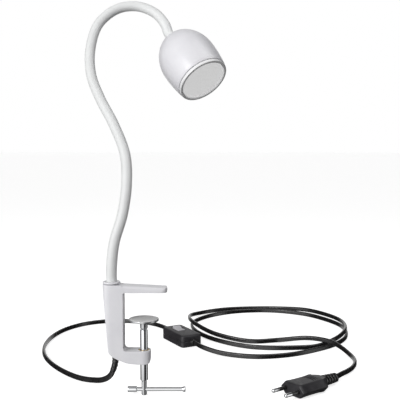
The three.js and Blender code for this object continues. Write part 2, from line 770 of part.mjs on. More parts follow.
function buildSwitch(parent) {
  const body = new THREE.Group();
  body.position.copy(SWITCH_CENTRE);
  body.rotation.z = SWITCH_TURN;
  parent.add(body);
  const screwX = SWITCH_LENGTH / 2 - 14;
  const base = switchShell(0, SWITCH_SPLIT, SWITCH_WALL, SWITCH_SPLIT + 1);
  const screwHole = cylinder(2.4 + GAP, -1, SWITCH_WALL + 1, 14).translate(screwX, 0, 0);
  add(body, "switch_base", cut(...base, screwHole), DARK_PLASTIC);
  const coverLow = SWITCH_SPLIT + GAP;
  const cover = switchShell(coverLow, SWITCH_HEIGHT, coverLow - 1, SWITCH_HEIGHT - SWITCH_WALL);
  const window = box(WINDOW_LENGTH, WINDOW_WIDTH, 10, [ROCKER_X, 0, SWITCH_HEIGHT]);
  const boss = ring(1.6, 3.2, 3, SWITCH_HEIGHT - 1, 14).translate(screwX, 0, 0);
  const shell = solid(cut(...cover, window)).add(solid(boss));
  add(body, "switch_cover", geometryOf(shell), DARK_PLASTIC);
  const rockerMesh = add(body, "switch_rocker", rocker(), GREY_ROCKER);
  rockerMesh.position.set(ROCKER_X, 0, ROCKER_Z);
  rockerMesh.rotation.y = ROCKER_TIP;
  const pivot = cylinder(1, -WINDOW_WIDTH / 2 - 2, WINDOW_WIDTH / 2 + 2, 14).rotateX(Math.PI / 2);
  add(body, "switch_pivot", pivot, STEEL).position.set(ROCKER_X, 0, ROCKER_Z);
  add(body, "switch_contact_in", contact(-1), BRASS);
  add(body, "switch_contact_out", contact(1), BRASS);
  add(body, "switch_screw", switchScrew(screwX), STEEL);
  add(body, "switch_relief_in", leadSleeve(-1), BLACK_PVC);
  add(body, "switch_relief_out", leadSleeve(1), BLACK_PVC);
}

// ---- plug

// The six-sided cross-section, wide at mid-height, in Y and Z.
function plugShape(width, topWidth, height) {
  const shape = new THREE.Shape();
  shape.moveTo(width / 2, 0);
  shape.lineTo(topWidth / 2, height / 2);
  shape.lineTo(-topWidth / 2, height / 2);
  shape.lineTo(-width / 2, 0);
  shape.lineTo(-topWidth / 2, -height / 2);
  shape.lineTo(topWidth / 2, -height / 2);
  return shape;
}

function plugBody() {
  const section = plugShape(PLUG_WIDTH, PLUG_TOP_WIDTH, PLUG_HEIGHT);
  const block = slab(section, 0, PLUG_SHOULDER_LENGTH);
  const shoulder = turned([
    [0, -1],
    [PLUG_WIDTH, -1],
    [PLUG_WIDTH, PLUG_BODY_LENGTH - 8],
    [PLUG_WIDTH / 2 + 0.5, PLUG_BODY_LENGTH],
    [6.4, PLUG_SHOULDER_LENGTH],
    [0, PLUG_SHOULDER_LENGTH],
  ], 24);
  const whole = geometryOf(solid(block).intersect(solid(shoulder)));
  const holes = [-1, 1].map((side) =>
    cylinder(PIN_R + GAP, -2, PIN_HOLE_DEPTH, 16).translate(side * (PIN_SPACING / 2), 0, 0),
  );
  return cut(whole, ...holes);
}

function plugRelief() {
  const profile = [[3.3, PLUG_SHOULDER_LENGTH + GAP]];
  const ribs = 5;
  const pitch = PLUG_RELIEF_LENGTH / ribs;
  for (let i = 0; i < ribs; i++) {
    const low = PLUG_SHOULDER_LENGTH + GAP + i * pitch;
    const radius = 6.1 - 0.25 * i;
    profile.push([radius, low], [radius, low + pitch * 0.65]);
    if (i < ribs - 1) profile.push([radius - 1, low + pitch * 0.65], [radius - 1, low + pitch]);
  }
  const end = PLUG_SHOULDER_LENGTH + GAP + PLUG_RELIEF_LENGTH - pitch * 0.35;
  profile.push([3.3, end], [3.3, PLUG_SHOULDER_LENGTH + GAP]);
  return turned(profile, 18);
}

function plugPin() {
  const sleeved = -PIN_SLEEVE_LENGTH;
  return turned([
    [0, -PIN_LENGTH],
    [PIN_R - 0.8, -PIN_LENGTH],
    [PIN_R, -PIN_LENGTH + 1],
    [PIN_R, sleeved - GAP],
    [PIN_R - 0.7, sleeved - GAP],
    [PIN_R - 0.7, PIN_HOLE_DEPTH - 0.4],
    [0, PIN_HOLE_DEPTH - 0.4],
  ], 16);
}

function buildPlug(parent) {
  const plug = new THREE.Group();
  plug.position.copy(PLUG_FACE);
  plug.position.z += PLUG_HEIGHT / 2;
  plug.rotation.z = PLUG_TURN;
  parent.add(plug);
  const lengthwise = new THREE.Group(); // local +Z runs back along the plug
  lengthwise.rotation.set(Math.PI / 2, Math.PI / 2, 0);
  plug.add(lengthwise);
  add(lengthwise, "plug_body", plugBody(), DARK_PLASTIC);
  add(lengthwise, "plug_relief", plugRelief(), BLACK_PVC);
  for (const [side, name] of [[-1, "left"], [1, "right"]]) {
    const x = side * (PIN_SPACING / 2);
    add(lengthwise, `plug_pin_${name}`, plugPin(), CHROME).position.x = x;
    const sleeve = ring(PIN_R - 0.7 + GAP, PIN_R, -PIN_SLEEVE_LENGTH, PIN_HOLE_DEPTH - 0.4, 16);
    add(lengthwise, `plug_pin_sleeve_${name}`, sleeve, BLACK_PVC).position.x = x;
  }
}

buildClamp(model);
buildScrew(model);
buildPad(model);
buildNeck(model);
buildHead(model);
buildLead(model);
buildSwitch(model);
buildPlug(model);

export default model;
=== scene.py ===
import json
import math

import bmesh
import bpy
from mathutils import Matrix, Vector


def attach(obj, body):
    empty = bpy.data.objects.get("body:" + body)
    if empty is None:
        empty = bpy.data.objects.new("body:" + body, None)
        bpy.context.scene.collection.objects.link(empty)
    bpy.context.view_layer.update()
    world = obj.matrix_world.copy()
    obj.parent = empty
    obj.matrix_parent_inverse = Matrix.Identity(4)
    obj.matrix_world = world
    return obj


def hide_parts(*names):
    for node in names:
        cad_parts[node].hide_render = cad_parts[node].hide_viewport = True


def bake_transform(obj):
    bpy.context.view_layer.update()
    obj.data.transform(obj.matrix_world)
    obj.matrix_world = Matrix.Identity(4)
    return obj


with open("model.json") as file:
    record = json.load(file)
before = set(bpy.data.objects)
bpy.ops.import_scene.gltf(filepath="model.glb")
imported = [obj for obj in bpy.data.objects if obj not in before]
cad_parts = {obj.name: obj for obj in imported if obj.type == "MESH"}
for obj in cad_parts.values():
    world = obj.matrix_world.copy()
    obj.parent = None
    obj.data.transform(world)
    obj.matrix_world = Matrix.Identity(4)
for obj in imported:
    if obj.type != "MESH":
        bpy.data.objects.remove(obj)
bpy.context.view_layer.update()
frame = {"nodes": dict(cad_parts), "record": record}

# The looks of a clamp-on reading lamp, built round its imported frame. Metres, +Z up, and the origin
# on the flat underside of the clamp's upper arm, on the clamp screw's axis.

FLOOR_Z = -0.107
FLOOR_SIZE = 120
GAP = 0.0003  # left between pieces that touch

# Camera
CAMERA_AT = (0.057, -0.700, 0.1431)
CAMERA_DOWN = math.radians(4.1)
LENS = 63  # mm, as is the sensor
SENSOR = 36

# Clamp frame
ARM_DEPTH = 0.018
ARM_TIP_X = 0.024
ARM_ROOT_TOP_Z = 0.0084
ARM_TIP_TOP_Z = 0.005
POST_INNER_X = -0.020
POST_TOP_LEFT_X = -0.0414
POST_FOOT_LEFT_X = -0.0356
POST_FOOT_Z = -0.062
LOWER_ARM_TOP_Z = -0.0595
LOWER_ARM_LOW_Z = -0.073
BOSS_R = 0.0072
TIP_CORNER_R = 0.006
BOSS_END_X = -0.0055  # where the lower arm starts to narrow towards the boss
ARM_EDGE = 0.0017  # width of the slope along the upper arm's edges
CAST_VOXEL = 0.00045

# Neck
NECK_X = -0.0324
NECK_R = 0.0055
NECK_FOOT_Z = 0.0088
NECK_SIDES = 40
LINKS = 10
LINK_RINGS = 24
FERRULE_R = 0.0049
FERRULE_LOW_Z = -0.015
NECK_RUN_IN = 0.009  # length of the neck's straight end behind the shade
LEAD_EXIT_X = -0.029
LEAD_BORE_R = 0.0039
GRUB_Z = -0.006
GRUB_BORE_R = 0.0021
COLLAR_R = 0.009
COLLAR_H = 0.0019

# Clamp screw and pad
SCREW_R = 0.0039
SCREW_TOP_Z = -0.0388
SCREW_STEP_Z = -0.0918
SCREW_END_Z = -0.1067
SCREW_END_R = 0.0027
INSERT_R = 0.0056
BAR_Z = -0.1008
BAR_R = 0.0021
BAR_HOLE_R = 0.0024
BAR_LEFT_X = -0.0168
BAR_RIGHT_X = 0.0422
BALL_Z = -0.0346
PAD_R = 0.0154
PAD_TOP_Z = -0.0275

# Head: s runs along the shade's axis from its rear pole to the light
HEAD_POLE = Vector((0.0264, 0.084, 0.2659))
HEAD_AXIS = Vector((0.5, -0.485, -0.72)).normalized()
SHADE_R = 0.0312
SHADE_WIDEST_S = 0.038
SHADE_RIM_S = 0.066
SHADE_RIM_R = 0.0287
SHADE_WALL = 0.0012
RING_R = 0.028
RING_FRONT_S = 0.0696
RING_INNER_R = 0.0251
LAMP_R = 0.0247

# Mains lead: a flat two-core cable, which stands on its edge as it curves
LEAD_WIDTH = 0.006
LEAD_THICKNESS = 0.0038
LEAD_WAIST = 0.0034  # the thickness between the two cores
LEAD_LIE_Z = FLOOR_Z + LEAD_WIDTH / 2
RELIEF_R = 0.0036
RELIEF_GROOVE = 0.00035
RELIEF_TAPER = 0.14  # share of its radius that the strain relief loses along its length
LEAD_LEAN = 0.14  # radians, as far as the lead tips to either side
LEAD_LEANS = 3.3  # leans there and back along one lead

# Inline switch
SWITCH_CENTRE = Vector((0.033, 0.200, FLOOR_Z))
SWITCH_TURN = math.atan2(-0.873, 0.488)
SWITCH_LENGTH = 0.058
SWITCH_WIDTH = 0.029
SWITCH_HEIGHT = 0.0154
SWITCH_SPLIT = 0.007
SWITCH_WALL = 0.002
SWITCH_CORNER_R = 0.004
SWITCH_LEAD_Z = 0.0069  # of the lead's centre above the floor, at the switch
SWITCH_SCREW_X = SWITCH_LENGTH / 2 - 0.014
ROCKER_X = -0.008
ROCKER_Z = 0.012
ROCKER_TIP = math.radians(7)  # the rocker rests with its lead-in end up
WINDOW_LENGTH = 0.0184
WINDOW_WIDTH = 0.0116
WINDOW_REBATE = 0.0008

# Plug: local +X runs from the pins' face back to the lead
PLUG_FACE = Vector((0.1505, -0.0042, FLOOR_Z))
PLUG_TURN = math.atan2(0.603, 0.798)
PLUG_HEIGHT = 0.0137
PLUG_WIDTH = 0.034
PLUG_TOP_WIDTH = 0.021
PLUG_SHOULDER_LENGTH = 0.045
PLUG_RELIEF_LENGTH = 0.021
PIN_LENGTH = 0.019
PIN_SPACING = 0.0182
PIN_R = 0.002
PIN_SLEEVE_LENGTH = 0.010
PIN_DEPTH = 0.0076  # of the pin's root in the plug

# The studio's brightness by degrees round from the front (-Y), with +X at 90, and by height: 0 is
# straight down, 0.5 is level and 1 is straight up
AROUND = [
    (-180, 0.8), (-160, 0.8), (-150, 0.03), (-94, 0.03), (-76, 1.4), (-40, 1.3), (2, 1.25),
    (9, 0), (64, 0), (70, 1.1), (84, 1.1), (91, 0.02), (150, 0.03), (160, 0.8),
]
HEIGHTS = [(0, 0.35), (0.3, 0.5), (0.42, 1), (0.62, 1), (0.75, 0.5), (1, 0.35)]
WHITE = (1, 1, 1, 1)

NECK_POINTS = [
    (NECK_X, 0, NECK_FOOT_Z),
    (-0.0323, 0, 0.025),
    (-0.0295, 0.0015, 0.050),
    (-0.0215, 0.006, 0.078),
    (-0.018, 0.014, 0.108),
    (-0.0205, 0.026, 0.138),
    (-0.034, 0.041, 0.170),
    (-0.050, 0.056, 0.198),
    (-0.0615, 0.070, 0.225),
    (-0.064, 0.083, 0.254),
    (-0.056, 0.095, 0.284),
    (-0.036, 0.1025, 0.3015),
    (-0.014, 0.1035, 0.3045),
    (0.006, 0.099, 0.2965),
    (0.018, 0.0918, 0.2826),
]

RELIEF_POINTS = [
    (LEAD_EXIT_X, 0, -0.062),
    (LEAD_EXIT_X, 0, -0.067),
    (-0.0293, 0.0003, -0.072),
    (-0.0303, 0.0012, -0.077),
    (-0.0319, 0.0026, -0.0818),
]

# From the strain relief under the post, by the left of the clamp and behind it, to the switch
LAMP_LEAD_POINTS = [
    (-0.0321, 0.0028, -0.0823),
    (-0.0343, 0.0048, -0.087),
    (-0.0386, 0.0089, -0.0919),
    (-0.046, 0.016, -0.0966),
    (-0.056, 0.0265, -0.1002),
    (-0.068, 0.038, -0.1028),
    (-0.082, 0.052, LEAD_LIE_Z),
    (-0.103, 0.077, LEAD_LIE_Z),
    (-0.123, 0.111, LEAD_LIE_Z),
    (-0.135, 0.145, LEAD_LIE_Z),
    (-0.14, 0.18, LEAD_LIE_Z),
    (-0.138, 0.218, LEAD_LIE_Z),
    (-0.127, 0.254, LEAD_LIE_Z),
    (-0.106, 0.282, LEAD_LIE_Z),
    (-0.08, 0.296, LEAD_LIE_Z),
    (-0.051, 0.298, LEAD_LIE_Z),
    (-0.026, 0.292, LEAD_LIE_Z),
    (-0.01, 0.282, LEAD_LIE_Z),
    (0.0005, 0.27, -0.1036),
    (0.008, 0.256, -0.1024),
    (0.0122, 0.243, -0.1009),
    (0.0152, 0.2322, -0.1001),
]

# From the switch to the plug: two loops on the floor, the second laid over the first
PLUG_LEAD_POINTS = [
    (0.0507, 0.1683, -0.1001),
    (0.061, 0.1525, -0.1011),
    (0.0839, 0.1355, -0.1034),
    (0.1217, 0.1233, LEAD_LIE_Z),
    (0.1635, 0.1303, LEAD_LIE_Z),
    (0.2024, 0.1532, LEAD_LIE_Z),
    (0.231, 0.179, LEAD_LIE_Z),
    (0.2485, 0.208, LEAD_LIE_Z),
    (0.2565, 0.243, LEAD_LIE_Z),
    (0.2545, 0.275, LEAD_LIE_Z),
    (0.24, 0.308, LEAD_LIE_Z),
    (0.2143, 0.341, LEAD_LIE_Z),
    (0.1675, 0.363, LEAD_LIE_Z),
    (0.1118, 0.3573, LEAD_LIE_Z),
    (0.069, 0.3274, LEAD_LIE_Z),
    (0.0465, 0.286, LEAD_LIE_Z),
    (0.051, 0.244, LEAD_LIE_Z),
    (0.0769, 0.199, LEAD_LIE_Z),
    (0.1217, 0.1651, LEAD_LIE_Z),
    (0.1755, 0.1612, LEAD_LIE_Z),
    (0.206, 0.169, -0.104),
    (0.231, 0.186, -0.0996),
    (0.246, 0.209, -0.0976),
    (0.256, 0.243, -0.0975),
    (0.2555, 0.276, -0.0975),
    (0.243, 0.309, -0.0976),
    (0.2185, 0.345, -0.0986),
    (0.19, 0.368, -0.1016),
    (0.1466, 0.381, LEAD_LIE_Z),
    (0.0968, 0.373, LEAD_LIE_Z),
    (0.058, 0.345, -0.103),
    (0.0415, 0.302, -0.0982),
    (0.052, 0.254, -0.0976),
    (0.08, 0.212, -0.1008),
    (0.122, 0.191, LEAD_LIE_Z),
    (0.16, 0.1935, -0.103),
    (0.192, 0.186, -0.0984),
    (0.21, 0.176, -0.0974),
    (0.223, 0.163, -0.0978),
    (0.2315, 0.148, -0.1002),
    (0.237, 0.132, -0.1028),
    (0.2395, 0.116, LEAD_LIE_Z),
    (0.2375, 0.099, LEAD_LIE_Z),
    (0.2305, 0.0805, -0.1037),
    (0.221, 0.0635, -0.1025),
    (0.211, 0.0476, -0.1007),
    (0.2023, 0.035, -0.10015),
]


# ---- camera


def make_camera():
    data = bpy.data.cameras.new("camera")
    data.lens = LENS
    data.sensor_width = SENSOR
    camera = bpy.data.objects.new("camera", data)
    camera.location = CAMERA_AT
    camera.rotation_euler = (math.pi / 2 - CAMERA_DOWN, 0, 0)
    bpy.context.scene.collection.objects.link(camera)
    bpy.context.scene.camera = camera


# ---- meshes


def smoothed(mesh, angle=35):
    """Shades a mesh smooth, with creases where it turns by more than the angle."""
    mesh.polygons.foreach_set("use_smooth", [True] * len(mesh.polygons))
    mesh.set_sharp_from_angle(angle=math.radians(angle))


def new_piece(name, mesh, angle=35):
    smoothed(mesh, angle)
    piece = bpy.data.objects.new(name, mesh)
    bpy.context.scene.collection.objects.link(piece)
    return piece


def piece_from(name, bm, angle=35):
    bmesh.ops.recalc_face_normals(bm, faces=bm.faces)
    mesh = bpy.data.meshes.new(name)
    bm.to_mesh(mesh)
    bm.free()
    return new_piece(name, mesh, angle)


def placed(piece, matrix):
    """The piece with its mesh moved, so that its object stays at the origin."""
    piece.data.transform(matrix)
    return piece


def apply_modifiers(piece, angle=35):
    depsgraph = bpy.context.evaluated_depsgraph_get()
    mesh = bpy.data.meshes.new_from_object(piece.evaluated_get(depsgraph))
    piece.modifiers.clear()
    piece.data = mesh
    smoothed(mesh, angle)
    return piece


def carved(piece, tools, operation="DIFFERENCE", angle=35):
    """The piece cut by each tool, which is then thrown away."""
    for tool in tools:
        modifier = piece.modifiers.new("carve", "BOOLEAN")
        modifier.operation = operation
        modifier.solver = "EXACT"
        modifier.object = tool
        apply_modifiers(piece, angle)
        bpy.data.objects.remove(tool)
    return piece


def softened(corners, steps=4, closed=True):
    """An outline whose corners, each (x, y, radius), are rounded off."""
    points = []
    for i, (x, y, radius) in enumerate(corners):
        here = Vector((x, y))
        if radius == 0 or (not closed and i in (0, len(corners) - 1)):
            points.append(here)
            continue
        before = Vector(corners[i - 1][:2])
        after = Vector(corners[(i + 1) % len(corners)][:2])
        start = here + (before - here).normalized() * radius
        end = here + (after - here).normalized() * radius
        for step in range(steps + 1):
            t = step / steps
            points.append(start * (1 - t) ** 2 + here * (2 * t * (1 - t)) + end * t**2)
    return points


def turned(name, profile, segments=64, hollow=False, angle=35):
    """A piece turned about +Z from (radius, height) points. A hollow profile closes on itself."""
    bm = bmesh.new()
    verts = [bm.verts.new((max(point[0], 0), 0, point[1])) for point in profile]
    pairs = list(zip(verts, verts[1:]))
    if hollow:
        pairs.append((verts[-1], verts[0]))
    edges = [bm.edges.new(pair) for pair in pairs]
    turn = {"cent": (0, 0, 0), "axis": (0, 0, 1), "angle": 2 * math.pi, "steps": segments}
    bmesh.ops.spin(bm, geom=verts + edges, use_merge=False, **turn)
    bmesh.ops.remove_doubles(bm, verts=bm.verts, dist=1e-6)
    return piece_from(name, bm, angle)


def rod(name, radius, low, high, segments=32):
    return turned(name, [(0, low), (radius, low), (radius, high), (0, high)], segments)


def prism(name, outline, low, high):
    """An upright prism over an outline in X and Y."""
    return lofted(name, [[(x, y, z) for x, y in outline] for z in (low, high)])


def lofted(name, rings, angle=35):
    """A closed skin through rings of the same number of points, with a cap on each end."""
    count = len(rings[0])
    vertices = [point for ring in rings for point in ring]
    faces = []
    for low in range(0, len(vertices) - count, count):
        for j in range(count):
            k = (j + 1) % count
            faces.append((low + j, low + k, low + count + k, low + count + j))
    faces.append(tuple(reversed(range(count))))
    faces.append(tuple(range(len(vertices) - count, len(vertices))))
    mesh = bpy.data.meshes.new(name)
    mesh.from_pydata([tuple(v) for v in vertices], [], faces)
    mesh.validate()
    bm = bmesh.new()
    bm.from_mesh(mesh)
    bpy.data.meshes.remove(mesh)
    return piece_from(name, bm, angle)


def bevelled(piece, width, segments=3, angle=30):
    modifier = piece.modifiers.new("bevel", "BEVEL")
    modifier.width = width
    modifier.segments = segments
    modifier.limit_method = "ANGLE"
    modifier.angle_limit = math.radians(angle)
    return apply_modifiers(piece, angle=45)


# ---- routes


def route_through(points, per_span=24):
    """A centripetal Catmull-Rom curve through points, the curve that the frame's routes follow."""
    points = [Vector(p) for p in points]
    ends = [2 * points[0] - points[1], *points, 2 * points[-1] - points[-2]]
    route = []
    for before, start, end, after in zip(ends, ends[1:], ends[2:], ends[3:]):
        first, span, last = (math.sqrt((b - a).length) for a, b in
                             ((before, start), (start, end), (end, after)))
        leave = (start - before) / first - (end - before) / (first + span) + (end - start) / span
        arrive = (end - start) / span - (after - start) / (span + last) + (after - end) / last
        leave, arrive = leave * span, arrive * span
        cubic = 2 * start - 2 * end + leave + arrive
        square = 3 * end - 3 * start - 2 * leave - arrive
        for step in range(per_span):
            t = step / per_span
            route.append(start + leave * t + square * t**2 + cubic * t**3)
    route.append(points[-1])
    return route


def length_of(route):
    return sum((b - a).length for a, b in zip(route, route[1:]))


def evenly(route, count):
    """The same route as count + 1 points that lie the same length apart."""
    step = length_of(route) / count
    points, travelled = [route[0]], 0
    for a, b in zip(route, route[1:]):
        span = (b - a).length
        while len(points) < count and travelled + span >= step * len(points):
            points.append(a.lerp(b, (step * len(points) - travelled) / span))
        travelled += span
    return [*points, route[-1]]


def tangents(route):
    last = len(route) - 1
    return [(route[min(i + 1, last)] - route[max(i - 1, 0)]).normalized() for i in range(last + 1)]


def level_frames(route, twist=lambda share: 0):
    """For each point of a route, a direction across it, level but for the twist, and one square to both."""
    frames = []
    for i, tangent in enumerate(tangents(route)):
        across = Vector((-tangent.y, tangent.x, 0)).normalized()
        over = tangent.cross(across)
        turn = Matrix.Rotation(twist(i / (len(route) - 1)), 3, tangent)
        frames.append((turn @ across, turn @ over))
    return frames


def carried_frames(route):
    """Frames carried along a route with no twist."""
    along = tangents(route)
    across = along[0].orthogonal().normalized()
    frames = []
    for tangent in along:
        across = (across - tangent * across.dot(tangent)).normalized()
        frames.append((across, tangent.cross(across)))
    return frames


def swept(name, route, frames, section, angle=50):
    """A tube along a route. section(share) gives the outline's (across, over) points there."""
    rings = []
    for i, (centre, (across, over)) in enumerate(zip(route, frames)):
        outline = section(i / (len(route) - 1))
        rings.append([centre + across * u + over * v for u, v in outline])
    return lofted(name, rings, angle)


def circle(radius, sides):
    turn = 2 * math.pi / sides
    return [(radius * math.cos(i * turn), radius * math.sin(i * turn)) for i in range(sides)]


# ---- materials


def blank_material(name):
    material = bpy.data.materials.new(name)
    material.use_nodes = True
    return material, material.node_tree, material.node_tree.nodes["Principled BSDF"]


def set_sockets(shader, **values):
    for name, value in values.items():
        shader.inputs[name.replace("_", " ")].default_value = value


def noise(tree, scale, detail=3, stretch=(1, 1, 1)):
    """A noise texture in the piece's own coordinates, with its features 1 / scale metres across."""
    place = tree.nodes.new("ShaderNodeTexCoord")
    mapping = tree.nodes.new("ShaderNodeMapping")
    mapping.inputs["Scale"].default_value = stretch
    texture = tree.nodes.new("ShaderNodeTexNoise")
    texture.inputs["Scale"].default_value = scale
    texture.inputs["Detail"].default_value = detail
    tree.links.new(place.outputs["Object"], mapping.inputs["Vector"])
    tree.links.new(mapping.outputs["Vector"], texture.inputs["Vector"])
    return texture.outputs["Fac"]


def spread(tree, value, low, high):
    """A noise value stretched to run from low to high."""
    remap = tree.nodes.new("ShaderNodeMapRange")
    remap.inputs["From Min"].default_value = 0.3
    remap.inputs["From Max"].default_value = 0.7
    remap.inputs["To Min"].default_value = low
    remap.inputs["To Max"].default_value = high
    tree.links.new(value, remap.inputs["Value"])
    return remap.outputs["Result"]


def mottled(tree, shader, value, dark, light):
    ramp = tree.nodes.new("ShaderNodeValToRGB")
    ramp.color_ramp.elements[0].color = (*dark, 1)
    ramp.color_ramp.elements[0].position = 0.3
    ramp.color_ramp.elements[1].color = (*light, 1)
    ramp.color_ramp.elements[1].position = 0.7
    tree.links.new(value, ramp.inputs["Fac"])
    tree.links.new(ramp.outputs["Color"], shader.inputs["Base Color"])


def bump(tree, shader, value, strength, depth):
    node = tree.nodes.new("ShaderNodeBump")
    node.inputs["Strength"].default_value = strength
    node.inputs["Distance"].default_value = depth
    tree.links.new(value, node.inputs["Height"])
    tree.links.new(node.outputs["Normal"], shader.inputs["Normal"])


def surface(name, dark, light, rough, grain, depth, stretch=(1, 1, 1), strength=0.4, **sockets):
    """A material with slow colour variation, and roughness and bump from a finer grain."""
    material, tree, shader = blank_material(name)
    mottled(tree, shader, noise(tree, 60, 4), dark, light)
    fine = noise(tree, grain, 4, stretch)
    tree.links.new(spread(tree, noise(tree, 240, 3), *rough), shader.inputs["Roughness"])
    bump(tree, shader, fine, strength, depth)
    set_sockets(shader, **sockets)
    return material


def make_materials():
    """Every finish on the object, by the name of the record's slot that it stands for."""
    return {
        "white_paint": surface("white_paint", (0.79, 0.785, 0.82), (0.84, 0.835, 0.865), (0.33, 0.43),
                               1400, 0.00004, Coat_Weight=0.25, Coat_Roughness=0.2),
        "white_sleeve": surface("white_sleeve", (0.80, 0.81, 0.81), (0.84, 0.85, 0.85), (0.42, 0.54),
                                2600, 0.00005, Sheen_Weight=0.1),
        "white_plastic": surface("white_plastic", (0.88, 0.88, 0.89), (0.92, 0.92, 0.93), (0.25, 0.33),
                                 900, 0.00002),
        # The lens glows faintly: painted light that brightens it as light passing through a frosted lens
        # would, though nothing in the lamp is lit
        "frosted_lens": surface("frosted_lens", (0.76, 0.76, 0.76), (0.81, 0.81, 0.81), (0.45, 0.6),
                                3000, 0.00006, Emission_Color=WHITE, Emission_Strength=0.42),
        "ceramic": surface("ceramic", (0.80, 0.77, 0.70), (0.86, 0.83, 0.76), (0.2, 0.35), 700, 0.00003),
        "cast_aluminium": surface("cast_aluminium", (0.55, 0.56, 0.57), (0.63, 0.64, 0.65), (0.35, 0.5),
                                  1500, 0.00006, Metallic=1),
        "chrome_plate": surface("chrome_plate", (0.80, 0.81, 0.83), (0.86, 0.87, 0.88), (0.03, 0.07),
                                300, 0.000004, Metallic=1),
        "bright_steel": surface("bright_steel", (0.66, 0.67, 0.68), (0.74, 0.75, 0.76), (0.22, 0.34),
                                2200, 0.00002, Metallic=1),
        "brass": surface("brass", (0.60, 0.43, 0.18), (0.72, 0.54, 0.25), (0.22, 0.34), 1800, 0.00002,
                         Metallic=1),
        "grey_facing": surface("grey_facing", (0.60, 0.60, 0.60), (0.70, 0.70, 0.70), (0.75, 0.92),
                               2600, 0.00015, strength=0.7, Sheen_Weight=0.2),
        "black_pvc": surface("black_pvc", (0.010, 0.0095, 0.010), (0.017, 0.016, 0.017), (0.22, 0.34),
                             1300, 0.00004, Specular_IOR_Level=0.7, Coat_Weight=0.5, Coat_Roughness=0.18),
        "dark_plastic": surface("dark_plastic", (0.026, 0.025, 0.028), (0.042, 0.040, 0.045), (0.36, 0.5),
                                3400, 0.00010, strength=0.7),
        "rocker_plastic": surface("rocker_plastic", (0.62, 0.61, 0.64), (0.70, 0.69, 0.72), (0.3, 0.42),
                                  1500, 0.00003),
    }


def finish(piece, slot, body, *nodes):
    """Gives a piece its material, its body and the CAD nodes that it stands for."""
    piece.data.materials.clear()
    piece.data.materials.append(materials[slot])
    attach(piece, body)
    if nodes:
        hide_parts(*nodes)
    return piece


# ---- mains lead


def lead_section():
    """A flat oval with a shallow waist between the two cores, in its width and thickness."""
    straight = (LEAD_WIDTH - LEAD_THICKNESS) / 2
    points = []
    for side, start in ((1, -90), (-1, 90)):
        for i in range(11):
            angle = math.radians(start + 18 * i)
            points.append((side * straight + LEAD_THICKNESS / 2 * math.cos(angle),
                           LEAD_THICKNESS / 2 * math.sin(angle)))
        points.append((0, side * LEAD_WAIST / 2))
    return points


def lead_twist(share):
    """The lead stands on its edge, leaning a little one way and then the other."""
    lean = LEAD_LEAN * math.sin(2 * math.pi * LEAD_LEANS * share)
    return math.pi / 2 + lean * math.sin(math.pi * share)


def lead(name, points, rings, node):
    """One stretch of the mains lead, and the route that it follows."""
    route = evenly(route_through(points), rings)
    piece = swept(name, route, level_frames(route, lead_twist), lambda share: lead_section())
    finish(piece, "black_pvc", "root", node)
    return piece, route


def lead_relief():
    """The tapered rubber sleeve where the lead leaves the post, with four grooves round it."""
    route = evenly(route_through(RELIEF_POINTS), 80)

    def section(share):
        grooved = 0.08 < share < 0.9
        groove = RELIEF_GROOVE * max(0, math.cos(2 * math.pi * 5 * share)) if grooved else 0
        return circle(RELIEF_R * (1 - RELIEF_TAPER * share) - groove, 32)

    relief = swept("lead_strain_relief", route, carried_frames(route), section)
    return finish(relief, "black_pvc", "root", "cord_strain_relief")


def make_leads():
    lead_relief()
    lamp_side, lamp_route = lead("lead_lamp_side", LAMP_LEAD_POINTS, 260, "cord_lamp_side")
    plug_side, plug_route = lead("lead_plug_side", PLUG_LEAD_POINTS, 760, "cord_plug_side")
    return (lamp_side, lamp_route), (plug_side, plug_route)


# ---- clamp


def clamp_side_view():
    """The C frame from the side, in X and Z, as (x, z, corner radius)."""
    corners = [
        (POST_TOP_LEFT_X, ARM_ROOT_TOP_Z, 0.0012),
        (POST_FOOT_LEFT_X, POST_FOOT_Z, 0.0030),
        (-0.0290, -0.0668, 0.0025),
        (-0.0170, LOWER_ARM_LOW_Z + 0.0008, 0.006),
        (-0.0060, LOWER_ARM_LOW_Z, 0.004),
        (BOSS_R - 0.0005, LOWER_ARM_LOW_Z, 0.004),
        (BOSS_R, LOWER_ARM_TOP_Z, 0.0008),
        (POST_INNER_X, LOWER_ARM_TOP_Z, 0.004),
        (POST_INNER_X, 0, 0.0018),
        (ARM_TIP_X, 0, 0.0012),
        (ARM_TIP_X, ARM_TIP_TOP_Z, 0.0018),
    ]
    return softened(corners, steps=6)


def clamp_top_view():
    """The C frame from above: round behind the post and at the arm's tip."""
    half = ARM_DEPTH / 2
    left = NECK_X - half
    corners = [
        (left, -half, half * 0.98),
        (ARM_TIP_X, -half, TIP_CORNER_R),
        (ARM_TIP_X, half, TIP_CORNER_R),
        (left, half, half * 0.98),
    ]
    return softened(corners, steps=12)


def boss_end_tools():
    """What is cut away on each side of the screw to round the lower arm's end."""
    tools = []
    half = ARM_DEPTH / 2
    for side in (-1, 1):
        corners = [
            (BOSS_END_X, side * half, 0),
            (BOSS_R, side * half, 0.0085),
            (BOSS_R, 0, 0),
            (BOSS_R + 0.006, 0, 0),
            (BOSS_R + 0.006, side * (half + 0.004), 0),
            (BOSS_END_X, side * (half + 0.004), 0),
        ]
        outline = softened(corners, steps=10)
        if side < 0:
            outline.reverse()
        tools.append(prism("tool", outline, LOWER_ARM_LOW_Z - 0.01, LOWER_ARM_TOP_Z + 0.003))
    return tools


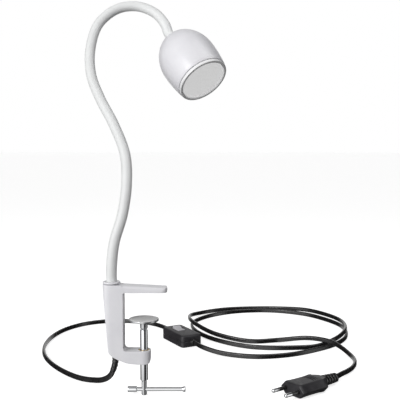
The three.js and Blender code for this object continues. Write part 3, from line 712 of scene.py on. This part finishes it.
def arm_edge_tools():
    """What is cut off the arm's two long upper edges."""
    reach = 0.003  # past the casting
    half = ARM_DEPTH / 2
    fall = (ARM_TIP_TOP_Z - ARM_ROOT_TOP_Z) / (ARM_TIP_X - POST_TOP_LEFT_X)
    tools = []
    for side in (-1, 1):
        rings = []
        for x in (-0.021, 0.030):
            top = ARM_ROOT_TOP_Z + fall * (x - POST_TOP_LEFT_X)
            rings.append([(x, side * (half - ARM_EDGE - reach), top + reach),
                          (x, side * (half + reach), top - ARM_EDGE - reach),
                          (x, side * (half + 2 * reach), top + 2 * reach)])
        tools.append(lofted("tool", rings))
    return tools


def cast_surface(piece):
    """Softens every edge as a casting's are: the shape is remeshed finely and relaxed."""
    remesh = piece.modifiers.new("remesh", "REMESH")
    remesh.mode = "VOXEL"
    remesh.voxel_size = CAST_VOXEL
    relax = piece.modifiers.new("relax", "SMOOTH")
    relax.factor = 0.5
    relax.iterations = 9
    return apply_modifiers(piece, angle=60)


def clamp_bores():
    """The bores for the lead, the neck's nipple, the threaded bush and the grub screw."""
    lead_bore = rod("tool", LEAD_BORE_R, -0.09, -0.05, 40)
    placed(lead_bore, Matrix.Translation((LEAD_EXIT_X, 0, 0)))
    neck_bore = rod("tool", FERRULE_R + GAP, FERRULE_LOW_Z - GAP, 0.02, 40)
    placed(neck_bore, Matrix.Translation((NECK_X, 0, 0)))
    screw_bore = rod("tool", INSERT_R + GAP, -0.09, -0.05, 48)
    grub = rod("tool", GRUB_BORE_R, 0.0, 0.02, 24)
    placed(grub, Matrix.Translation((NECK_X, 0, GRUB_Z)) @ Matrix.Rotation(-math.pi / 2, 4, "X"))
    return [lead_bore, neck_bore, screw_bore, grub]


def make_frame_casting():
    upright = Matrix.Rotation(math.pi / 2, 4, "X")
    frame_piece = placed(prism("clamp_frame", clamp_side_view(), -ARM_DEPTH / 2, ARM_DEPTH / 2), upright)
    plan = prism("tool", clamp_top_view(), LOWER_ARM_LOW_Z - 0.005, ARM_ROOT_TOP_Z + 0.005)
    carved(frame_piece, [plan], "INTERSECT")
    carved(frame_piece, [*boss_end_tools(), *arm_edge_tools()])
    cast_surface(frame_piece)
    carved(frame_piece, clamp_bores(), angle=40)
    finish(frame_piece, "white_paint", "root", "clamp_body")


def make_collar():
    low = ARM_ROOT_TOP_Z + GAP
    hole = NECK_R + 0.0004
    outline = softened([
        (hole, low, 0),
        (COLLAR_R, low, 0.0003),
        (COLLAR_R, low + COLLAR_H, 0.0008),
        (hole, low + COLLAR_H, 0.0003),
    ])
    collar = placed(turned("collar", outline, hollow=True), Matrix.Translation((NECK_X, 0, 0)))
    finish(collar, "white_paint", "root", "neck_collar")


def make_bush():
    insert = softened([
        (SCREW_R + GAP, LOWER_ARM_LOW_Z + 0.001, 0.0002),
        (INSERT_R, LOWER_ARM_LOW_Z + 0.001, 0.0003),
        (INSERT_R, LOWER_ARM_TOP_Z - GAP, 0.0003),
        (SCREW_R + GAP, LOWER_ARM_TOP_Z - GAP, 0.0004),
    ])
    finish(turned("threaded_bush", insert, hollow=True), "brass", "root", "thread_insert")


# ---- clamp screw and pad


def make_screw():
    """The screw's polished shank, stepped down for the tommy bar and domed at its end."""
    shank = softened([
        (0, SCREW_END_Z, 0),
        (SCREW_END_R, SCREW_END_Z, 0.0010),
        (SCREW_END_R, SCREW_STEP_Z - 0.0002, 0.0002),
        (SCREW_R, SCREW_STEP_Z + 0.0010, 0.0003),
        (SCREW_R, SCREW_TOP_Z, 0.0003),
        (0, SCREW_TOP_Z, 0),
    ], closed=False)
    screw = turned("clamp_screw_shank", shank, 96)
    hole = placed(rod("tool", BAR_HOLE_R, -0.01, 0.01, 40), Matrix.Rotation(math.pi / 2, 4, "Y"))
    placed(hole, Matrix.Translation((0, 0, BAR_Z)))
    carved(screw, [hole], angle=40)
    finish(screw, "chrome_plate", "screw", "clamp_screw")


def make_bar():
    """The tommy bar, with a peened flare on one end and a pressed cap on the other."""
    lay = Matrix.Translation((0, 0, BAR_Z)) @ Matrix.Rotation(math.pi / 2, 4, "Y")
    bar = softened([
        (0, BAR_LEFT_X + 0.001, 0),
        (0.0015, BAR_LEFT_X + 0.001, 0),
        (0.0015, BAR_LEFT_X + 0.0096, 0),
        (BAR_R, BAR_LEFT_X + 0.0096, 0.0003),
        (BAR_R, BAR_RIGHT_X - 0.0034, 0.0008),
        (0.0030, BAR_RIGHT_X - 0.0010, 0.0005),
        (0.0026, BAR_RIGHT_X, 0.0003),
        (0, BAR_RIGHT_X, 0),
    ], closed=False)
    finish(placed(turned("tommy_bar_rod", bar, 48), lay), "chrome_plate", "bar", "tommy_bar")
    cap = softened([
        (0, BAR_LEFT_X, 0),
        (0.0031, BAR_LEFT_X, 0.0007),
        (0.0031, BAR_LEFT_X + 0.0093, 0.0004),
        (0.0018, BAR_LEFT_X + 0.0093, 0.0002),
        (0.0018, BAR_LEFT_X + 0.0007, 0),
        (0, BAR_LEFT_X + 0.0007, 0),
    ], closed=False)
    finish(placed(turned("tommy_bar_end", cap, 48), lay), "chrome_plate", "bar", "tommy_bar_cap")


def make_pad():
    """The pressed swivel pad: a dished disc with a rolled rim, and a cup closed round the ball."""
    disc = softened([
        (0.0025, BALL_Z - 0.0036, 0.0002),
        (0.0031, BALL_Z - 0.0036, 0.0002),
        (SCREW_R, BALL_Z - 0.0028, 0.0004),
        (SCREW_R, PAD_TOP_Z - 0.0036, 0.0006),
        (PAD_R - 0.0012, PAD_TOP_Z - 0.0025, 0.0010),
        (PAD_R, PAD_TOP_Z - 0.0019, 0.0004),
        (PAD_R, PAD_TOP_Z - 0.0004, 0.0003),
        (PAD_R - 0.0007, PAD_TOP_Z - 0.0004, 0.0003),
        (PAD_R - 0.0007, PAD_TOP_Z - 0.0015, 0.0002),
        (0.0006, PAD_TOP_Z - 0.0022, 0),
        (0.0006, BALL_Z + 0.00335, 0.0004),
        (0.0034, BALL_Z + 0.0015, 0.0012),
        (0.0034, BALL_Z - 0.0014, 0.0012),
        (0.0025, BALL_Z - 0.0022, 0.0002),
    ])
    finish(turned("pad_pressing", disc, 80, hollow=True), "bright_steel", "pad", "pad_disc")
    low, edge = PAD_TOP_Z - 0.0012, PAD_R - 0.0010
    facing = softened([
        (0, low, 0),
        (edge, low, 0.0002),
        (edge, PAD_TOP_Z, 0.0006),
        (0, PAD_TOP_Z, 0),
    ], closed=False)
    finish(turned("pad_felt", facing, 80), "grey_facing", "pad", "pad_facing")


# ---- gooseneck


def neck_route():
    ends = [HEAD_POLE - HEAD_AXIS * NECK_RUN_IN, HEAD_POLE - HEAD_AXIS * GAP]
    return evenly(route_through([*NECK_POINTS, *ends]), LINKS * LINK_RINGS)


def make_neck():
    """The sleeve in stretches from the middle of one link to the middle of the next, each across a hinge.
    """
    route = neck_route()
    frames = carried_frames(route)
    half = LINK_RINGS // 2
    for link in range(LINKS + 1):
        first = max(link * LINK_RINGS - half, 0)
        last = min(link * LINK_RINGS + half, LINKS * LINK_RINGS)
        piece = swept(f"neck_sleeve_{link}", route[first:last + 1], frames[first:last + 1],
                      lambda share: circle(NECK_R, NECK_SIDES))
        if link in (0, LINKS):
            finish(piece, "white_sleeve", "root" if link == 0 else "neck_9")
        else:
            bend_sleeve(piece)
        node = min(link, LINKS - 1)
        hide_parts(f"neck_link_{node}")


def bend_sleeve(piece):
    """Gives a stretch of sleeve its material and bakes its placement into its mesh."""
    piece.data.materials.append(materials["white_sleeve"])
    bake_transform(piece)


# ---- head


def shade_radius(s, wall=0.0):
    """The shade's radius at s: an ellipse up to its widest place, and a slow curve in from there."""
    if s > SHADE_WIDEST_S:
        share = (s - SHADE_WIDEST_S) / (SHADE_RIM_S - SHADE_WIDEST_S)
        return SHADE_R - wall - (SHADE_R - SHADE_RIM_R) * share**2
    share = (SHADE_WIDEST_S - s) / (SHADE_WIDEST_S - wall)
    return (SHADE_R - wall) * math.sqrt(max(0, 1 - share**2))


def shade_profile(hole):
    """Up the outside from the hole in the crown, over the rolled rim, and back down the inside."""
    steps = 40
    outer, inner = [], []
    for i in range(steps + 1):
        share = (i / steps) ** 2
        s = 0.0005 + (SHADE_RIM_S - 0.0007 - 0.0005) * share
        outer.append((max(shade_radius(s), hole + 0.0004), s))
        s = 0.0022 + (SHADE_RIM_S - 0.0007 - 0.0022) * share
        inner.append((max(shade_radius(s, SHADE_WALL), hole), s))
    rim_r, rim_s = SHADE_RIM_R - SHADE_WALL / 2, SHADE_RIM_S - 0.0006
    rim = [(rim_r + SHADE_WALL / 2 * math.cos(a), rim_s + SHADE_WALL / 2 * math.sin(a))
           for a in (math.radians(d) for d in range(10, 180, 20))]
    return [(hole, 0.0003), *outer, *rim, *reversed(inner), (hole, 0.0018)]


def make_head():
    turn = HEAD_AXIS.to_track_quat("Z", "Y").to_matrix().to_4x4()
    head = Matrix.Translation(HEAD_POLE) @ turn
    shade = turned("shade_shell", shade_profile(FERRULE_R + GAP), 128, hollow=True, angle=45)
    finish(placed(shade, head), "white_paint", "neck_9", "shade")
    low = SHADE_RIM_S + GAP
    sleeve = SHADE_RIM_R - SHADE_WALL - GAP
    ring = softened([
        (sleeve - 0.001, low - 0.005, 0.0003),
        (sleeve, low - 0.005, 0.0003),
        (sleeve, low, 0),
        (RING_R, low, 0.0003),
        (RING_R, RING_FRONT_S, 0.0009),
        (RING_INNER_R, RING_FRONT_S, 0.0007),
        (RING_INNER_R, low + 0.0003, 0),
        (sleeve - 0.001, low, 0),
    ])
    bezel = placed(turned("bezel_ring", ring, 128, hollow=True), head)
    finish(bezel, "white_plastic", "neck_9", "front_ring")
    lens = softened([
        (0, low, 0),
        (LAMP_R, low, 0.0002),
        (LAMP_R, low + 0.0018, 0.0006),
        (0.018, low + 0.0021, 0.003),
        (0, low + 0.0022, 0),
    ], closed=False)
    finish(placed(turned("diffuser", lens, 128), head), "frosted_lens", "neck_9", "lamp_lens")


# ---- inline switch


def rounded_ring(length, width, radius, z):
    """A level rectangle with rounded corners."""
    corners = [(x * length / 2, y * width / 2, radius) for x, y in ((-1, -1), (1, -1), (1, 1), (-1, 1))]
    return [(x, y, z) for x, y in softened(corners, steps=8)]


def shell_rings(levels):
    """Rings of the switch's outline, each set in by an inset at its height."""
    return [rounded_ring(SWITCH_LENGTH - 2 * inset, SWITCH_WIDTH - 2 * inset,
                         max(SWITCH_CORNER_R * 1.4 - inset, 0.001), z) for inset, z in levels]


def inside_tool(low, high):
    """The hollow in the switch between two heights."""
    return lofted("tool", shell_rings([(SWITCH_WALL, low), (SWITCH_WALL, high)]))


def lead_way():
    """The way through the switch for the lead."""
    way = placed(rod("tool", 0.004, -0.04, 0.04, 40), Matrix.Rotation(math.pi / 2, 4, "Y"))
    return placed(way, Matrix.Translation((0, 0, SWITCH_LEAD_Z)))


def window_tool(margin, low):
    """What is cut from the cover, down to a height, for the window and a margin round it."""
    length, width = WINDOW_LENGTH + 2 * margin, WINDOW_WIDTH + 2 * margin
    rings = [rounded_ring(length, width, 0.0008, z) for z in (low, SWITCH_HEIGHT + 0.005)]
    return placed(lofted("tool", rings), Matrix.Translation((ROCKER_X, 0, 0)))


def rocker_outline():
    """The rocker from the side: a shallow V, so that one half is up while the other is pressed in."""
    half = WINDOW_LENGTH / 2 - 0.0009
    corners = [
        (-half, 0.0018, 0.0002),
        (-half + 0.0008, -0.0016, 0.0003),
        (half - 0.0008, -0.0016, 0.0003),
        (half, 0.0018, 0.0002),
        (half - 0.0002, 0.0050, 0.0007),
        (0, 0.0030, 0.0012),
        (-half + 0.0002, 0.0050, 0.0007),
    ]
    return softened(corners, steps=6)


def make_rocker(place):
    width = WINDOW_WIDTH - 0.0012
    rocker = prism("rocker_key", rocker_outline(), -width / 2, width / 2)
    placed(rocker, Matrix.Rotation(math.pi / 2, 4, "X"))
    bevelled(rocker, 0.0004)
    placed(rocker, Matrix.Translation((ROCKER_X, 0, ROCKER_Z)) @ Matrix.Rotation(ROCKER_TIP, 4, "Y"))
    finish(placed(rocker, place), "rocker_plastic", "rocker", "switch_rocker")


def make_switch():
    place = Matrix.Translation(SWITCH_CENTRE) @ Matrix.Rotation(SWITCH_TURN, 4, "Z")
    switch_base(place)
    switch_cover(place)
    make_rocker(place)
    collars = [lead_collar(side, name, place) for side, name in ((-1, "in"), (1, "out"))]
    return ["switch_lower_shell", "switch_upper_shell", "rocker_key", *collars]


def switch_base(place):
    """The lower shell, hollow, with a hole for its screw underneath."""
    base = lofted("switch_lower_shell", shell_rings([
        (0.0012, 0), (0.0004, 0.0003), (0.0001, 0.0010), (0, 0.0020),
        (0, SWITCH_SPLIT - 0.0003), (0.0003, SWITCH_SPLIT),
    ]))
    screw_hole = rod("tool", 0.0027, -0.001, 0.003, 32)
    placed(screw_hole, Matrix.Translation((SWITCH_SCREW_X, 0, 0)))
    carved(base, [inside_tool(SWITCH_WALL, SWITCH_SPLIT + 0.001), lead_way(), screw_hole])
    finish(placed(base, place), "dark_plastic", "root", "switch_base")


def switch_cover(place):
    """The upper shell, hollow, with a rebated window for the rocker."""
    low = SWITCH_SPLIT + GAP
    top = SWITCH_HEIGHT
    cover = lofted("switch_upper_shell", shell_rings([
        (0.0003, low), (0, low + 0.0003), (0, top - 0.0030), (0.0002, top - 0.0018), (0.0008, top - 0.0008),
        (0.0018, top - 0.0002), (0.0032, top),
    ]))
    window = window_tool(0, top - 0.005)
    rebate = window_tool(WINDOW_REBATE, top - 0.0004)
    carved(cover, [inside_tool(low - 0.001, top - SWITCH_WALL), lead_way(), window, rebate])
    finish(placed(cover, place), "dark_plastic", "root", "switch_cover")


def lead_collar(side, name, place):
    """A short ribbed collar where the lead enters the switch."""
    start = SWITCH_LENGTH / 2 - 0.003
    profile = [(0, start, 0), (0.0037, start, 0.0001)]
    for i in range(3):
        x = start + 0.0040 + 0.0018 * i
        profile += [(0.0037 - 0.0001 * i, x, 0.0002), (0.0031, x + 0.0002, 0.0001),
                    (0.0031, x + 0.0007, 0.0001), (0.0036 - 0.0001 * i, x + 0.0009, 0.0002)]
    profile += [(0.0033, start + 0.010, 0.0004), (0, start + 0.010, 0)]
    collar = turned(f"switch_collar_{name}", softened(profile, steps=2, closed=False), 40)
    placed(collar, Matrix.Translation((0, 0, SWITCH_LEAD_Z)) @ Matrix.Rotation(side * math.pi / 2, 4, "Y"))
    finish(placed(collar, place), "black_pvc", "root", f"switch_relief_{name}")
    return collar.name


# ---- plug


def plug_section(width, top_width, height, radius):
    """The plug's six-sided section, wide at mid-height, in Y and Z."""
    corners = [
        (width / 2, 0, radius),
        (top_width / 2, height / 2, radius),
        (-top_width / 2, height / 2, radius),
        (-width / 2, 0, radius),
        (-top_width / 2, -height / 2, radius),
        (top_width / 2, -height / 2, radius),
    ]
    return softened(corners, steps=5)


def plug_rings():
    """Sections along the plug: a softened face, a waist to hold it by, the shoulders, and the neck."""
    levels = [
        (0.0000, 0.93, 0.86), (0.0004, 0.97, 0.93), (0.0012, 0.99, 0.98), (0.0030, 1.00, 1.00),
        (0.0045, 0.985, 1.00), (0.0070, 0.95, 0.985), (0.0140, 0.925, 0.975), (0.0220, 0.92, 0.97),
        (0.0280, 0.94, 0.975), (0.0315, 0.975, 0.99), (0.0330, 1.00, 1.00), (0.0352, 1.00, 1.00),
        (0.0362, 0.97, 0.985), (0.0366, 0.86, 0.95), (0.0400, 0.70, 0.90), (0.0430, 0.54, 0.85),
        (0.0446, 0.46, 0.82), (0.0450, 0.42, 0.76),
    ]
    rings = []
    for x, across, over in levels:
        outline = plug_section(PLUG_WIDTH * across, PLUG_TOP_WIDTH * across, PLUG_HEIGHT * over,
                               0.0013 * across)
        rings.append([(x, y, z) for y, z in outline])
    return rings


def grip_ridges(place):
    """Faint arched ridges on the plug's top and underside, where fingers pull."""
    names = []
    for face, side in (("top", 1), ("under", -1)):
        for i in range(3):
            x = 0.0235 + 0.0032 * i
            arch = [Vector((x + 0.0024 * (1 - (y / 0.008) ** 2), y, side * (PLUG_HEIGHT / 2 * 0.97)))
                    for y in (0.008 * (k / 12 - 1) for k in range(25))]
            ridge = swept(f"plug_ridge_{face}_{i}", arch, level_frames(arch),
                          lambda share: circle(0.0005 * (0.25 + math.sin(math.pi * share) ** 0.5), 10))
            finish(placed(ridge, place), "dark_plastic", "root")
            names.append(ridge.name)
    return names


def relief_profile():
    """Five ribs that grow smaller towards the lead."""
    start = PLUG_SHOULDER_LENGTH + GAP
    pitch = PLUG_RELIEF_LENGTH / 5
    profile = [(0, start, 0), (0.0044, start, 0)]
    for i in range(5):
        low, radius = start + i * pitch, 0.0061 - 0.00025 * i
        profile += [(radius, low, 0.0005), (radius, low + pitch * 0.6, 0.0005)]
        if i < 4:
            groove = radius - 0.0019
            profile += [(groove, low + pitch * 0.62, 0.0002), (groove, low + pitch * 0.99, 0.0002)]
    end = start + PLUG_RELIEF_LENGTH - pitch * 0.35
    profile += [(0, end, 0)]
    return softened(profile, steps=3, closed=False)


def make_plug():
    centre = PLUG_FACE + Vector((0, 0, PLUG_HEIGHT / 2))
    place = Matrix.Translation(centre) @ Matrix.Rotation(PLUG_TURN, 4, "Z")
    lengthwise = place @ Matrix.Rotation(math.pi / 2, 4, "Y")
    body = lofted("plug_moulding", plug_rings(), angle=30)
    holes = []
    for side in (-1, 1):
        hole = placed(rod("tool", PIN_R + GAP, -0.002, 0.008, 32), Matrix.Rotation(math.pi / 2, 4, "Y"))
        holes.append(placed(hole, Matrix.Translation((0, side * PIN_SPACING / 2, 0))))
    carved(body, holes, angle=30)
    finish(placed(body, place), "dark_plastic", "root", "plug_body")
    relief = placed(turned("plug_strain_relief", relief_profile(), 48), lengthwise)
    finish(relief, "black_pvc", "root", "plug_relief")
    names = ["plug_moulding", "plug_strain_relief", *grip_ridges(place)]
    for side, name in ((-1, "left"), (1, "right")):
        shift = lengthwise @ Matrix.Translation((0, side * PIN_SPACING / 2, 0))
        names += plug_pin(shift, name)
    return names


def plug_pin(shift, name):
    """A round pin with a domed bright tip and a black sleeve round its root."""
    tip = -PIN_LENGTH
    sleeved = -PIN_SLEEVE_LENGTH
    dome = [(PIN_R * math.sin(a), tip + PIN_R * 0.8 * (1 - math.cos(a))) for a in
            (math.radians(15 * i) for i in range(7))]
    core = PIN_R - 0.0007
    metal = [*dome, (PIN_R, sleeved - GAP), (core, sleeved - GAP), (core, PIN_DEPTH), (0, PIN_DEPTH)]
    pin = placed(turned(f"pin_{name}", metal, 40), shift)
    finish(pin, "chrome_plate", "root", f"plug_pin_{name}")
    hole = PIN_R - 0.0004
    sleeve = softened([
        (hole, sleeved, 0.0001),
        (PIN_R, sleeved, 0.0002),
        (PIN_R, PIN_DEPTH, 0.0001),
        (hole, PIN_DEPTH, 0.0001),
    ])
    cover = placed(turned(f"pin_sleeve_{name}", sleeve, 40, hollow=True), shift)
    finish(cover, "black_pvc", "root", f"plug_pin_sleeve_{name}")
    return [pin.name, cover.name]


# ---- carried-over CAD nodes


def dress_cad_nodes():
    """Gives the CAD nodes that stay, most of them inside, the material of their record slot."""
    slots = {row["node"]: row["material_slot"] for row in frame["record"]["subparts"]}
    for name, node in frame["nodes"].items():
        if node.hide_render:
            continue
        node.data.materials.clear()
        node.data.materials.append(materials[slots[name]])
        smoothed(node.data, 30)


# ---- stage and light


def make_floor():
    bpy.ops.mesh.primitive_plane_add(size=FLOOR_SIZE, location=(0, 0, FLOOR_Z - 0.0001))
    floor = bpy.context.object
    floor.name = "floor"
    floor.visible_glossy = False
    floor.visible_diffuse = False
    material, _, shader = blank_material("pale_floor")
    set_sockets(shader, Base_Color=(0.9, 0.9, 0.9, 1), Roughness=0.9, Emission_Color=WHITE,
                Emission_Strength=0.72)
    floor.data.materials.append(material)


def set_ramp(ramp, stops):
    """Gives a colour ramp its greys, as (position, level) pairs."""
    while len(ramp.elements) < len(stops):
        ramp.elements.new(1)
    for element, (position, level) in zip(ramp.elements, stops):
        element.position = position
        element.color = (level, level, level, 1)


def math_node(tree, operation, *values):
    """The result of a Math node, each of whose inputs is a number or another node's output."""
    node = tree.nodes.new("ShaderNodeMath")
    node.operation = operation
    for socket, value in zip(node.inputs, values):
        if isinstance(value, (int, float)):
            socket.default_value = value
        else:
            tree.links.new(value, socket)
    return node.outputs[0]


def ramp_over(tree, value, low, high, stops):
    """The brightness that stops give to a value that runs from low to high."""
    share = tree.nodes.new("ShaderNodeMapRange")
    share.inputs["From Min"].default_value = low
    share.inputs["From Max"].default_value = high
    tree.links.new(value, share.inputs["Value"])
    ramp = tree.nodes.new("ShaderNodeValToRGB")
    set_ramp(ramp.color_ramp, stops)
    tree.links.new(share.outputs["Result"], ramp.inputs["Fac"])
    return ramp.outputs["Color"]


def blended(tree, blend, factor, first, second):
    """Two colours mixed, each a node's output or a colour."""
    node = tree.nodes.new("ShaderNodeMix")
    node.data_type = "RGBA"
    node.blend_type = blend
    for name, value in (("Factor_Float", factor), ("A_Color", first), ("B_Color", second)):
        socket = next(entry for entry in node.inputs if entry.identifier == name)
        if isinstance(value, bpy.types.NodeSocket):
            tree.links.new(value, socket)
        else:
            socket.default_value = value
    return next(entry for entry in node.outputs if entry.identifier == "Result_Color")


def make_world():
    """A studio that the camera sees as white. The object sees a broad bright panel at the front left,
    a strip light on the right and a soft one behind, with dark between them."""
    world = bpy.data.worlds.new("studio")
    world.use_nodes = True
    bpy.context.scene.world = world
    tree = world.node_tree
    place = tree.nodes.new("ShaderNodeTexCoord")
    split = tree.nodes.new("ShaderNodeSeparateXYZ")
    tree.links.new(place.outputs["Generated"], split.inputs["Vector"])
    front = math_node(tree, "MULTIPLY", split.outputs["Y"], -1)
    azimuth = math_node(tree, "ARCTAN2", split.outputs["X"], front)
    around = [((degrees + 180) / 360, level) for degrees, level in AROUND]
    side_light = ramp_over(tree, azimuth, -math.pi, math.pi, around)
    height_light = ramp_over(tree, split.outputs["Z"], -1, 1, HEIGHTS)
    light = blended(tree, "MULTIPLY", 1, side_light, height_light)
    seen = tree.nodes.new("ShaderNodeLightPath").outputs["Is Camera Ray"]
    shown = blended(tree, "MIX", seen, light, WHITE)
    tree.links.new(shown, tree.nodes["Background"].inputs["Color"])


def soft_light(name, location, target, size, power):
    """A round area light that faces a target."""
    data = bpy.data.lights.new(name, "AREA")
    data.shape = "DISK"
    data.size = size
    data.energy = power
    light = bpy.data.objects.new(name, data)
    light.location = location
    direction = Vector(target) - Vector(location)
    light.rotation_euler = direction.to_track_quat("-Z", "Y").to_euler()
    bpy.context.scene.collection.objects.link(light)


def make_lights():
    soft_light("key", (-0.9, -1.1, 0.7), (0, 0.05, 0.1), 0.8, 10.8)
    soft_light("top", (0.55, -0.15, 1.0), (0.03, 0.05, 0.2), 0.8, 3.2)


make_camera()
materials = make_materials()
leads = make_leads()
switch_names = make_switch()
plug_names = make_plug()
make_frame_casting()
make_collar()
make_bush()
make_screw()
make_bar()
make_pad()
make_neck()
make_head()
dress_cad_nodes()
make_floor()
make_world()
make_lights()
bpy.context.scene.view_settings.view_transform = "Standard"
